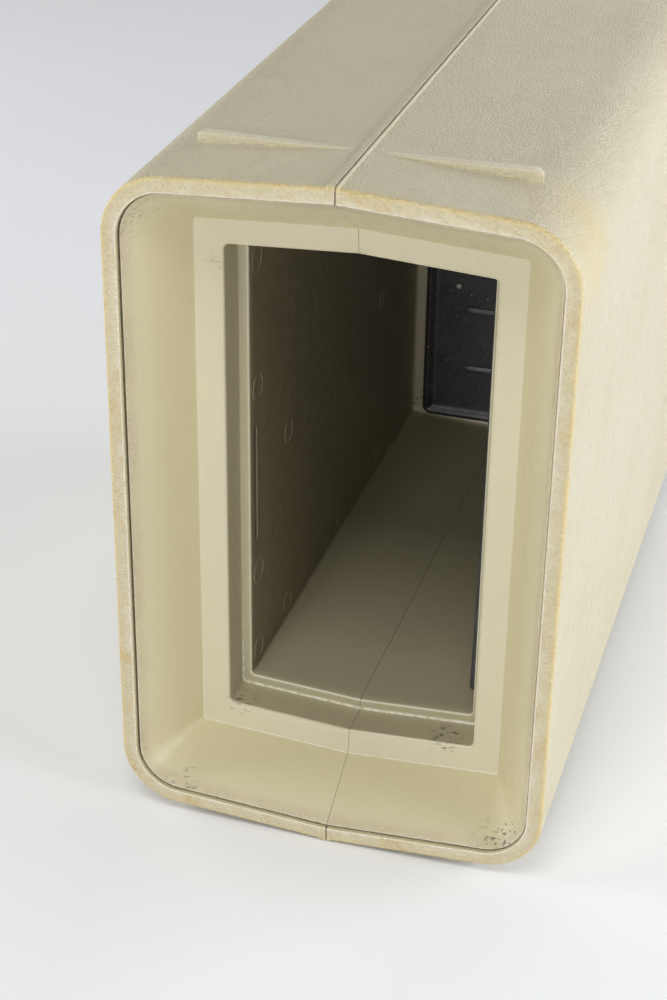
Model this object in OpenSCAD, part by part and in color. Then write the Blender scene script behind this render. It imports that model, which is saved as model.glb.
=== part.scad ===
// Fire-resistant safe body without its door: two moulded half shells, two liner halves,
// cast insulation between them, and the steel and plastic parts they hold.
// X runs across the opening, Y runs from the opening into the body, Z is up.
// The origin is at the middle of the base.

/* [Body] */
// Width over the two flat sides
body_w = 310; // [280:1:340]
// Height over the seam ridges
body_h = 498; // [450:1:540]
// Depth from the front rim to the back
body_d = 610; // [540:1:680]
// How much the top and bottom fall away for each millimetre out from the seam
draft = 0.058; // [0.03:0.001:0.08]
// Radius of the outer edges
edge_r = 44; // [30:1:50]
// Thickness of the outer shell
shell_t = 4.5; // [3:0.5:6]

/* [Rim and seam] */
// Width of the front rim
rim_w = 11.5; // [9:0.5:14]
// Thickness of the front rim, front to back
rim_t = 6; // [4:0.5:9]
// Open gap between the rim and the liner
rim_gap = 1.8; // [1:0.1:2.5]
// Height of the seam ridge above the shell
ridge_h = 1; // [0.5:0.1:1.5]
// Width of the seam ridge on the left half
ridge_w_left = 5; // [3:0.5:8]
// Width of the seam ridge on the right half
ridge_w_right = 2.5; // [1.5:0.5:5]
// Width of the open groove along the seam
groove_w = 1; // [0.6:0.1:1.6]

/* [Levelling ribs] */
// Thickness of each rib, front to back
rib_t = 7; // [5:0.5:10]
// Distance of the ribs from the front and from the back
rib_from_end = 67; // [50:1:90]
// How far the thick end of a rib is from the seam
rib_reach = 113; // [90:1:115]
// How far the thin end of a rib is from the seam
rib_start = 9; // [7:1:20]

/* [Liner] */
// Thickness of the liner
liner_t = 3.5; // [2.5:0.5:5]
// How far the liner sits below the middle of the shell
liner_drop = 2.5; // [0:0.5:4]
// Width between the outer edges of the door ledge
ledge_w = 223; // [210:1:235]
// Height between the outer edges of the door ledge, at the seam
ledge_h = 409; // [395:1:420]
// Depth of the door ledge at its outer edge
ledge_y = 53; // [45:1:60]
// How much deeper the door ledge is at its inner edge
ledge_fall = 2.4; // [0:0.1:3]
// Width of the doorway
doorway_w = 184; // [176:1:196]
// Height of the doorway, at the seam
doorway_h = 372; // [364:1:384]
// Depth of the inner door stop
stop_y = 83; // [75:1:90]
// Width of the cavity
cavity_w = 169; // [160:1:172]
// Height of the cavity, at the seam
cavity_h = 355; // [345:1:360]
// Depth of the cavity's rear wall behind the rim
cavity_y = 541; // [480:1:545]

/* [Locking parts] */
// Width of the bolt slot in the left wall
slot_w = 6; // [5:0.5:10]
// Height of the bolt slot
slot_h = 91; // [70:1:110]
// Depth of the bolt slot's near edge behind the rim
slot_y = 92.5; // [90:0.5:100]
// Height of the bolt slot's middle above the middle of the liner
slot_z = -17.5; // [-40:0.5:40]
// Thickness of the strike bar
bar_t = 4; // [3:0.5:4]
// Width of the strike bar
bar_w = 12; // [10:1:16]
// Length of the strike bar
bar_len = 310; // [200:10:330]
// Depth of the strike bar's near edge behind the rim
bar_y = 86; // [85:0.5:90]

/* [Rear panel] */
// Width of the rear panel
panel_w = 148; // [120:1:156]
// Height of the rear panel
panel_h = 335; // [280:1:338]
// How far the rear panel stands proud of the cavity's rear wall
panel_t = 8; // [6:1:12]
// How far the panel's middle is below the middle of the liner
panel_drop = 3.5; // [0:0.5:3.5]
// Distance between the panel's cross ribs
panel_rib_pitch = 57.5; // [50:0.5:60]
// Length of the panel's cross ribs
panel_rib_len = 74; // [40:1:90]

/* [Hidden] */
$fn = 64;

LEFT = -1;
RIGHT = 1;
far = 2 * body_d;              // larger than the whole body, for cutting tools
arc_steps = 8;                 // flats on each rounded corner of an outline
y_front = -body_d / 2;
z_mid = body_h / 2;
liner_z = z_mid - liner_drop;
half_w = body_w / 2;
face_h = body_h / 2 - ridge_h; // half height of the shell itself at the seam
face_d = body_d - ridge_h;     // depth of the shell itself
groove_depth = 3;

mouth_w = half_w - rim_w - rim_gap;
mouth_h = face_h - rim_w - rim_gap;
mouth_r = edge_r - rim_w - rim_gap;
mouth_y = 0.6;                 // the liner's front edge lies just behind the rim's face
ledge_r = 3;
doorway_r = 4;
cavity_r = 3;
liner_back = cavity_y + liner_t;

fill_wall_x = (half_w - shell_t + cavity_w / 2 + liner_t) / 2;   // middle of the side filling
fill_wall_z = (face_h - shell_t + cavity_h / 2 + liner_t) / 2;   // middle of the top filling
seal_size = 12;
seal_in = 12;                  // distance from the shell's inside to the seal
seal_front = 30;
seal_z = face_h - shell_t - seal_in - seal_size;
seal_back = face_d - shell_t - seal_in - seal_size;
dowel_r = 6;
dowel_len = 60;
dowel_z = cavity_h / 2 + liner_t + 16;
dowel_back_y = liner_back + 18;
dowel_ys = [120, 320, 520];
dowel_zs = [-120, 0, 120];
strap_t = 2;
strap_w = 25;
strap_seam_gap = 8;
front_strap_y = slot_y;
rear_strap_y = 480;
post_r = 7;
post_ys = [172, 305, 417];
post_zs = [-157, -10, 150];
bolt_box_t = 2;
bolt_box_rivet_r = 2;
bolt_box_rivet_z = 30;
screw_r = 2.5;
screw_head_r = 4.5;
screw_head_t = 2.5;
screw_len = 22;
screw_zs = [-135, -45, 45, 135];
nut_plate_t = 3;
panel_r = 9;
panel_z = liner_z - panel_drop;
panel_bead_in = 6;             // from the panel's edge to the bead
panel_bead_w = 4;
panel_bead_h = 1.2;
panel_rib_w = 7;
panel_rib_h = 3;
rivet_r = 1.8;
rivet_head_r = 2.4;
rivet_head_t = 1;
rivet_x = 44;
rivet_z = 36;
rivet_hold = 6;                // how far a rivet reaches into the filling

shell_colour = "#c9c3a3";
liner_colour = "#c4bc94";
fill_colour = "#9c9890";
steel_colour = "#8c9096";
black_colour = "#232325";
pale_colour = "#b9b5a8";
seal_colour = "#7a4a3a";

// Extrude a shape drawn in the X-Z plane from depth y0 to depth y1 behind the rim.
module along_y(y0, y1) {
    translate([0, y_front + y1, 0])
        rotate([90, 0, 0])
            linear_extrude(y1 - y0)
                children();
}

// Extrude a shape drawn in the Y-Z plane from x0 to x1.
module along_x(x0, x1) {
    translate([x0, 0, 0])
        rotate([90, 0, 90])
            linear_extrude(x1 - x0)
                children();
}

// Keep one side of the seam, starting at a distance from it.
module side_of_seam(side, from = 0) {
    intersection() {
        children();
        translate([side > 0 ? from : -from - far, -far / 2, -far / 2])
            cube([far, far, far]);
    }
}

// Points on an arc of radius r round (x, z), from angle a0 to angle a1.
function arc(x, z, r, a0, a1) = [
    for (i = [0:arc_steps])
        let (a = a0 + (a1 - a0) * i / arc_steps)
            [x + r * cos(a), z + r * sin(a)]
];

// A rectangle with half width w and half height h at x = 0, whose top and bottom fall
// towards the sides by the draft, with corner arcs tangent to both edges.
module crowned(w, h, r) {
    tilt = atan(draft);
    x = w - r;
    z = h - draft * x - r / cos(tilt);
    polygon(concat(
        [[0, h]],
        arc(x, z, r, 90 - tilt, 0),
        arc(x, -z, r, 0, tilt - 90),
        [[0, -h]],
        arc(-x, -z, r, 270 - tilt, 180),
        arc(-x, z, r, 180, 90 + tilt)
    ));
}

// The same outline at the height of the shell or of the liner.
module shell_outline(inset) {
    translate([0, z_mid])
        crowned(half_w - inset, face_h - inset, edge_r - inset);
}

module liner_outline(w, h, r) {
    translate([0, liner_z])
        crowned(w, h, r);
}

// The outside of the shell, or its inside when inset by the wall: a crowned prism whose
// rear edges are rounded off towards a flat back.
module envelope(inset) {
    y = face_d - inset;
    r = edge_r - inset;
    intersection() {
        along_y(0, y)
            shell_outline(inset);
        translate([0, 0, -1])
            linear_extrude(body_h + 2)
                translate([0, y_front])
                    rounded_end(half_w - inset, y, r);
        along_x(-half_w - 1, half_w + 1)
            translate([y_front, z_mid])
                rotate(-90)
                    rounded_end(face_h - inset, y, r);
    }
}

// A rectangle of half width w that ends in two rounded corners at distance y.
module rounded_end(w, y, r) {
    polygon(concat(
        [[-w, -1], [w, -1]],
        arc(w - r, y - r, r, 0, 90),
        arc(r - w, y - r, r, 90, 180)
    ));
}

// What the filling takes up before the liner and the parts in it are taken out.
module fill_space() {
    difference() {
        envelope(shell_t);
        along_y(-1, rim_t)
            square(far, center = true);
    }
}

// A raised strip along the seam at the top, bottom and back.
module seam_ridge(side) {
    w = side > 0 ? ridge_w_right : ridge_w_left;
    deep = ridge_h + shell_t / 2;
    start = side > 0 ? 0 : -w;
    for (low = [0, body_h - deep])
        translate([start, y_front, low])
            cube([w, face_d - edge_r, deep]);
    translate([start, y_front + body_d - deep, z_mid - face_h + edge_r])
        cube([w, deep, 2 * (face_h - edge_r)]);
}

// Wedge ribs that bring the drafted top and bottom out to the height of the seam ridge.
module levelling_ribs(side) {
    thick = ridge_h + draft * rib_reach;
    for (y = [rib_from_end, body_d - rib_from_end - rib_t], flip = [0, 1])
        translate([0, 0, flip * body_h])
            mirror([0, 0, flip])
                along_y(y, y + rib_t)
                    mirror([side < 0 ? 1 : 0, 0])
                        polygon([
                            [rib_start, 0], [rib_reach, 0],
                            [rib_reach, thick + 1], [rib_start, ridge_h + draft * rib_start + 1]
                        ]);
}

// Open groove that is cut half into each shell along the outside of the seam.
module seam_groove() {
    translate([-groove_w / 2, y_front - 1, 0])
        difference() {
            translate([0, 0, -1])
                cube([groove_w, body_d + 2, body_h + 2]);
            translate([-1, -1, ridge_h + groove_depth])
                cube([groove_w + 2, body_d + 2 - groove_depth, body_h - 2 * (ridge_h + groove_depth)]);
        }
}

module outer_shell(side) {
    color(shell_colour)
        difference() {
            union() {
                side_of_seam(side)
                    envelope(0);
                seam_ridge(side);
                levelling_ribs(side);
            }
            fill_space();
            along_y(-1, rim_t + 1)
                shell_outline(rim_w);
            seam_groove();
        }
}

// Everything inside the liner's visible surface.
module liner_space() {
    hull() {
        along_y(-1, mouth_y)
            mouth_outline();
        along_y(ledge_y - 0.01, ledge_y)
            liner_outline(ledge_w / 2, ledge_h / 2, ledge_r);
    }
    hull() {
        along_y(ledge_y - 0.01, ledge_y)
            liner_outline(ledge_w / 2, ledge_h / 2, ledge_r);
        along_y(ledge_y + ledge_fall - 0.01, ledge_y + ledge_fall)
            liner_outline(doorway_w / 2, doorway_h / 2, doorway_r);
    }
    along_y(ledge_y, stop_y)
        liner_outline(doorway_w / 2, doorway_h / 2, doorway_r);
    along_y(stop_y - 1, cavity_y)
        liner_outline(cavity_w / 2, cavity_h / 2, cavity_r);
}

module mouth_outline() {
    translate([0, z_mid])
        crowned(mouth_w, mouth_h, mouth_r);
}

// The liner's outside, which the filling is cast against.
module liner_block() {
    hull() {
        along_y(mouth_y, mouth_y + 2)
            mouth_outline();
        along_y(ledge_y + ledge_fall, ledge_y + ledge_fall + liner_t)
            liner_outline(ledge_w / 2 + liner_t, ledge_h / 2 + liner_t, ledge_r + liner_t);
    }
    along_y(ledge_y, stop_y + liner_t)
        liner_outline(doorway_w / 2 + liner_t, doorway_h / 2 + liner_t, doorway_r + liner_t);
    along_y(stop_y, liner_back)
        liner_outline(cavity_w / 2 + liner_t, cavity_h / 2 + liner_t, cavity_r + liner_t);
}

module liner(side) {
    color(liner_colour)
        difference() {
            side_of_seam(side)
                liner_block();
            liner_space();
            if (side == LEFT)
                bolt_slot(0);
            else
                strike_screw_holes(0.2);
            rivet_holes();
        }
}

// Slot for the door's bolts, through the left wall of the liner.
module bolt_slot(grow) {
    translate([-cavity_w / 2 - liner_t - 1, y_front + slot_y - grow, liner_z + slot_z - slot_h / 2 - grow])
        cube([liner_t + 2, slot_w + 2 * grow, slot_h + 2 * grow]);
}

// Cast filling of one half, with room left for everything that is set into it.
module insulation(side) {
    color(fill_colour)
        difference() {
            side_of_seam(side)
                fill_space();
            liner_block();
            seal_path();
            for (p = dowel_places())
                dowel(p, dowel_r + 0.1);
            strap(side, front_strap_y);
            strap(side, rear_strap_y);
            spacer_posts(side);
            rivet_holes();
            if (side == LEFT) {
                bolt_box_block(0);
                bolt_box_rivet_shanks();
            } else {
                nut_plate_block();
                strike_screw_holes(0.2);
            }
        }
}

// Heat-swelling strip that lies across the seam round the top, back and bottom.
module seal_path() {
    along_x(-seal_size / 2, seal_size / 2)
        translate([y_front, z_mid])
            difference() {
                translate([seal_front, -seal_z - seal_size])
                    square([seal_back + seal_size - seal_front, 2 * (seal_z + seal_size)]);
                translate([seal_front - 1, -seal_z])
                    square([seal_back - seal_front + 1, 2 * seal_z]);
            }
}

function dowel_places() = concat(
    [for (y = dowel_ys, s = [-1, 1]) [y, s * dowel_z]],
    [for (z = dowel_zs) [dowel_back_y, z]]
);

// One pin across the seam; p is its depth behind the rim and its height above the middle.
module dowel(p, r) {
    translate([-dowel_len / 2, y_front + p[0], liner_z + p[1]])
        rotate([0, 90, 0])
            cylinder(r = r, h = dowel_len);
}

module seam_dowels() {
    color(steel_colour)
        for (p = dowel_places())
            dowel(p, dowel_r);
}

// Flat steel strap bent to a C inside the side, top and bottom filling of one half.
module strap(side, y) {
    side_of_seam(side, strap_seam_gap)
        along_y(y, y + strap_w)
            translate([0, z_mid])
                difference() {
                    crowned(fill_wall_x + strap_t / 2, fill_wall_z + strap_t / 2, 14);
                    crowned(fill_wall_x - strap_t / 2, fill_wall_z - strap_t / 2, 14 - strap_t);
                }
}

// Posts that hold the liner off the shell while the filling sets.
module spacer_posts(side) {
    near = cavity_w / 2 + liner_t;
    for (y = post_ys, z = post_zs)
        translate([side > 0 ? near : shell_t - half_w, y_front + y, liner_z + z])
            rotate([0, 90, 0])
                cylinder(r = post_r, h = half_w - shell_t - near);
}

// Steel box behind the bolt slot, from the front strap to the liner; wall is taken off all
// round, and the mouth end is open.
module bolt_box_block(wall) {
    deep = fill_wall_x - strap_t / 2;
    near = cavity_w / 2 + liner_t;
    side = slot_w + 2 * (bolt_box_t - wall);
    tall = slot_h + 2 * (bolt_box_t - wall);
    translate([wall - deep, y_front + slot_y + (slot_w - side) / 2, liner_z + slot_z - tall / 2])
        cube([deep - near, side, tall]);
}

module bolt_box() {
    color(black_colour)
        difference() {
            bolt_box_block(0);
            bolt_box_block(bolt_box_t);
            bolt_box_rivet_shanks();
        }
}

// Rivets that join the bolt box to the front strap.
module bolt_box_rivet_shanks() {
    for (s = [-1, 1])
        translate([-fill_wall_x - strap_t / 2, y_front + slot_y + slot_w / 2, liner_z + slot_z + s * bolt_box_rivet_z])
            rotate([0, 90, 0])
                cylinder(r = bolt_box_rivet_r, h = strap_t + bolt_box_t);
}

module front_strap(side) {
    color(steel_colour)
        difference() {
            strap(side, front_strap_y);
            if (side == LEFT)
                bolt_box_rivet_shanks();
        }
}

module rear_strap(side) {
    color(steel_colour)
        strap(side, rear_strap_y);
}

// Holes for the screws of the strike bar; grow is the clearance round each screw.
module strike_screw_holes(grow) {
    for (z = screw_zs)
        translate([cavity_w / 2 - bar_t, y_front + bar_y + bar_w / 2, liner_z + z])
            rotate([0, 90, 0])
                cylinder(r = screw_r + grow, h = screw_len + grow);
}

module strike_screw_heads() {
    for (z = screw_zs)
        translate([cavity_w / 2 - bar_t, y_front + bar_y + bar_w / 2, liner_z + z])
            rotate([0, 90, 0])
                cylinder(r1 = screw_head_r, r2 = screw_r, h = screw_head_t);
}

module strike_bar() {
    color(black_colour)
        difference() {
            along_x(cavity_w / 2 - bar_t, cavity_w / 2)
                translate([y_front + bar_y + bar_w / 2, liner_z]) {
                    square([bar_w, bar_len - bar_w], center = true);
                    for (s = [-1, 1])
                        translate([0, s * (bar_len - bar_w) / 2])
                            circle(bar_w / 2);
                }
            strike_screw_holes(0.2);
            strike_screw_heads();
        }
}

module strike_bar_screws() {
    color(steel_colour) {
        strike_screw_holes(0);
        strike_screw_heads();
    }
}

module nut_plate_block() {
    translate([cavity_w / 2 + liner_t, y_front + stop_y + liner_t + 0.5, liner_z - bar_len / 2 + 5])
        cube([nut_plate_t, bar_w, bar_len - 10]);
}

module strike_nut_plate() {
    color(steel_colour)
        difference() {
            nut_plate_block();
            strike_screw_holes(0.2);
        }
}

module rounded_rect(w, h, r) {
    square([w, h - 2 * r], center = true);
    square([w - 2 * r, h], center = true);
    for (sx = [-1, 1], sz = [-1, 1])
        translate([sx * (w / 2 - r), sz * (h / 2 - r)])
            circle(r);
}

// Shallow black pan on the cavity's rear wall, with a border bead and cross ribs.
module rear_panel() {
    face_y = cavity_y - panel_t;
    color(black_colour)
        difference() {
            translate([0, 0, panel_z]) {
                along_y(face_y, cavity_y)
                    rounded_rect(panel_w, panel_h, panel_r);
                along_y(face_y - panel_bead_h, face_y)
                    difference() {
                        rounded_rect(panel_w - 2 * panel_bead_in, panel_h - 2 * panel_bead_in, panel_r);
                        rounded_rect(
                            panel_w - 2 * (panel_bead_in + panel_bead_w),
                            panel_h - 2 * (panel_bead_in + panel_bead_w),
                            panel_r - panel_bead_w
                        );
                    }
                for (i = [-2:2])
                    along_y(face_y - panel_rib_h, face_y)
                        translate([0, i * panel_rib_pitch])
                            rounded_rect(panel_rib_len, panel_rib_w, panel_rib_w / 2 - 0.01);
            }
            rivet_holes();
        }
}

function rivet_places() = [for (sx = [-1, 1], sz = [-1, 1]) [sx * rivet_x, sz * rivet_z]];

module rivet_shank(p, r) {
    translate([p[0], y_front + cavity_y - panel_t, panel_z + p[1]])
        rotate([-90, 0, 0])
            cylinder(r = r, h = panel_t + liner_t + rivet_hold);
}

module rivet_holes() {
    for (p = rivet_places())
        rivet_shank(p, rivet_r + 0.1);
}

module rear_panel_rivets() {
    color(pale_colour)
        for (p = rivet_places()) {
            rivet_shank(p, rivet_r);
            translate([p[0], y_front + cavity_y - panel_t - rivet_head_t, panel_z + p[1]])
                rotate([-90, 0, 0])
                    cylinder(r = rivet_head_r, h = rivet_head_t);
        }
}

outer_shell(LEFT);  // outer_shell_left
outer_shell(RIGHT);  // outer_shell_right
liner(LEFT);  // liner_left
liner(RIGHT);  // liner_right
insulation(LEFT);  // insulation_left
insulation(RIGHT);  // insulation_right
color(seal_colour) seal_path();  // seam_seal
seam_dowels();
front_strap(LEFT);  // front_strap_left
front_strap(RIGHT);  // front_strap_right
rear_strap(LEFT);  // rear_strap_left
rear_strap(RIGHT);  // rear_strap_right
color(liner_colour) spacer_posts(LEFT);  // spacer_posts_left
color(liner_colour) spacer_posts(RIGHT);  // spacer_posts_right
bolt_box();
color(steel_colour) bolt_box_rivet_shanks();  // bolt_box_rivets
strike_bar();
strike_bar_screws();
strike_nut_plate();
rear_panel();
rear_panel_rivets();
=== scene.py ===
"""Looks of a fire-resistant safe body without its door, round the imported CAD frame.

The visible mouldings are rebuilt as smooth meshes on the CAD part's own dimensions.
Lengths are in metres, X runs across the doorway, Y into the body and Z up.
"""
import math

import bmesh
import bpy
from mathutils import Matrix, Vector


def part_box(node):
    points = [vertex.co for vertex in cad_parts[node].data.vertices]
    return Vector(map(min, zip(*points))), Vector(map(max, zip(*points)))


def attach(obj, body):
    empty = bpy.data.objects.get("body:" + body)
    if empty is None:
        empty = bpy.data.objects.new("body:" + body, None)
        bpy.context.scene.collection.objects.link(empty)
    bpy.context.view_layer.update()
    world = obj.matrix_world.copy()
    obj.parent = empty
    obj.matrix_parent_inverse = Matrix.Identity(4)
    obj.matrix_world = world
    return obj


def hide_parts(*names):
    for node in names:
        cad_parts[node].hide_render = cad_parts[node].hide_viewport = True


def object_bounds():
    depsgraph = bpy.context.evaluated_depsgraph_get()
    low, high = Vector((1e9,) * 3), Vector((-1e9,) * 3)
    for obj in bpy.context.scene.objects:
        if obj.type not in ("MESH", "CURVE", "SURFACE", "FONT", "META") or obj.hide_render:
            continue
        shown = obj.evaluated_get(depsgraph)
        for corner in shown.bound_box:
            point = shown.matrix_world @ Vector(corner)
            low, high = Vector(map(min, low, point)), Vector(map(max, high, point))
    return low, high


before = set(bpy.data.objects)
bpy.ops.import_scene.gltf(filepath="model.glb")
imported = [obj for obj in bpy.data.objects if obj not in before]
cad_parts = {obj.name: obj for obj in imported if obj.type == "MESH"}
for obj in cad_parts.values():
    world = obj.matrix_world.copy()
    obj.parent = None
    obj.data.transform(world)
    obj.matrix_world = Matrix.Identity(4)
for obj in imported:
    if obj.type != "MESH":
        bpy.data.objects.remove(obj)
CAD_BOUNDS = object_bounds()
MM = 0.001
LEFT, RIGHT = -1, 1

# ---------------------------------------------------------------- dimensions
LOW, HIGH = CAD_BOUNDS
FRONT = LOW.y
Z_MID = (LOW.z + HIGH.z) / 2
HALF_W = (HIGH.x - LOW.x) / 2
RIDGE_H = 1.0 * MM
FACE_H = (HIGH.z - LOW.z) / 2 - RIDGE_H
FACE_D = HIGH.y - FRONT - RIDGE_H
DRAFT = 0.058
EDGE_R = 44 * MM
SHELL_T = 4.5 * MM
RIM_W = 11.5 * MM
RIM_T = 6 * MM
SEAM_GAP = 0.55 * MM
RIDGE_W = {LEFT: 5.0 * MM, RIGHT: 2.4 * MM}

LINER_T = 3.5 * MM
LINER_Z = Z_MID - 2.5 * MM
GAP_NEAR, GAP_FAR = 0.12 * MM, 1.3 * MM
LEDGE_W, LEDGE_H, LEDGE_Y = 111.5 * MM, 204.5 * MM, 53 * MM
DOORWAY_W, DOORWAY_H = 92 * MM, 186 * MM
CAVITY_W, CAVITY_H = 84.5 * MM, 177.5 * MM

RIB_NEAR, RIB_FAR = 9 * MM, 113 * MM
RIB_DEPTHS = (67 * MM, 535 * MM)
RIB_T = 7 * MM


# ---------------------------------------------------------------- mesh helpers
def arc_points(cx, cz, r, a0, a1, steps):
    """Points of an arc round (cx, cz), in degrees."""
    out = []
    for i in range(steps + 1):
        a = math.radians(a0 + (a1 - a0) * i / steps)
        out.append((cx + r * math.cos(a), cz + r * math.sin(a)))
    return out


def between(a, b, count):
    """count points strictly between a and b."""
    return [
        (a[0] + (b[0] - a[0]) * i / (count + 1), a[1] + (b[1] - a[1]) * i / (count + 1))
        for i in range(1, count + 1)
    ]


def half_outline(w, h, r, seam_xs, across=6, round_steps=10, down=24, bow=0.0, draft=DRAFT):
    """One half of a crowned rectangle, from the seam at the top round to the seam below.

    seam_xs are the distances from the seam of its first columns. The side wall bends
    towards the middle by bow, and the top falls towards the side by draft. Every outline
    with the same counts has matching points.
    """
    tilt = math.degrees(math.atan(draft))
    cx = w - r
    cz = h - draft * cx - r / math.cos(math.radians(tilt))
    top = [(x, h - draft * x) for x in seam_xs]
    corner = arc_points(cx, cz, r, 90 - tilt, 0, round_steps)
    upper = top + between(top[-1], corner[0], across) + corner
    side = between(corner[-1], (w, -cz), down)
    side = [(x - bow * (1 - (z / max(cz, 1e-6)) ** 2), z) for x, z in side]
    lower = [(x, -z) for x, z in reversed(upper)]
    return upper + side + lower


def sharpen(bm, angle):
    """Hard shading on the edges where faces meet at more than angle."""
    for edge in bm.edges:
        if len(edge.link_faces) == 2:
            edge.smooth = edge.calc_face_angle(0) < math.radians(angle)


def finish_mesh(name, bm, sharp_angle=40):
    """A new object from bm: normals outward, smooth shaded, sharp at hard edges."""
    bmesh.ops.remove_doubles(bm, verts=bm.verts, dist=0.002 * MM)
    bmesh.ops.dissolve_degenerate(bm, edges=bm.edges, dist=0.001 * MM)
    bmesh.ops.recalc_face_normals(bm, faces=bm.faces)
    for face in bm.faces:
        face.smooth = True
    sharpen(bm, sharp_angle)
    mesh = bpy.data.meshes.new(name)
    bm.to_mesh(mesh)
    bm.free()
    obj = bpy.data.objects.new(name, mesh)
    bpy.context.scene.collection.objects.link(obj)
    return obj


def add_rows(bm, rows):
    """Quads between rows of points that have equal counts; returns the rows of vertices."""
    grid = [[bm.verts.new(p) for p in row] for row in rows]
    for a, b in zip(grid, grid[1:]):
        for i in range(len(a) - 1):
            bm.faces.new((a[i], a[i + 1], b[i + 1], b[i]))
    return grid


def fill_mirrored(bm, row, flat_from):
    """Closes a row that is the same above and below, with one flat face beyond its first columns."""
    n = len(row)
    for i in range(flat_from):
        bm.faces.new((row[i], row[i + 1], row[n - 2 - i], row[n - 1 - i]))
    bm.faces.new(row[flat_from:n - flat_from])


def close_seam(bm, grid):
    """Flat face over the open edge of a half moulding on the seam."""
    first = [row[0] for row in grid]
    last = [row[-1] for row in reversed(grid)]
    bm.faces.new(first + last)


class Ring:
    """One outline of a moulding: half width and height, corner radius, middle height, depth.

    lift_out and lift_back say which way the seam columns are raised. inset is the distance
    in from the outer surface in millimetres, and the wear mark is 1 on an edge painted pale, partly for
    rubbing and partly as painted highlight.
    bow is how far the side wall sags inwards, and draft is the fall of the top per unit of width.
    """

    def __init__(
        self, w, h, r, z, y, lift_out=0.0, lift_back=0.0, inset=0.0, wear=0.0, bow=0.0, draft=DRAFT,
    ):
        self.w, self.h, self.r, self.z, self.y, self.draft = w, h, r, z, y, draft
        self.lift_out, self.lift_back = lift_out, lift_back
        self.inset, self.wear, self.bow = inset, wear, bow


def half_moulding(name, side, outside, inside, seam_xs, lifts, seam_wear, counts):
    """A closed half moulding from two chains of rings that meet at the front edge."""
    bm = bmesh.new()
    inset_layer = bm.verts.layers.float.new("inset")
    wear_layer = bm.verts.layers.float.new("wear")
    rings = list(reversed(inside)) + list(outside)
    rows = []
    for ring in rings:
        points = half_outline(ring.w, ring.h, ring.r, seam_xs, bow=ring.bow, draft=ring.draft, **counts)
        n = len(points)
        made = []
        for i, (x, z) in enumerate(points):
            from_end = min(i, n - 1 - i)
            lift = lifts[from_end] if from_end < len(lifts) else 0.0
            up = 1 if i < n / 2 else -1
            made.append((
                side * x,
                FRONT + ring.y + lift * ring.lift_back,
                ring.z + z + up * lift * ring.lift_out,
            ))
        rows.append(made)
    grid = add_rows(bm, rows)
    for ring, row in zip(rings, grid):
        n = len(row)
        for i, vert in enumerate(row):
            from_end = min(i, n - 1 - i)
            edge = seam_wear[from_end] if from_end < len(seam_wear) else 0.0
            vert[inset_layer] = ring.inset
            vert[wear_layer] = max(ring.wear, edge)
    fill_mirrored(bm, grid[0], len(seam_xs))
    fill_mirrored(bm, grid[-1], len(seam_xs))
    close_seam(bm, grid)
    return finish_mesh(name, bm)


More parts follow.
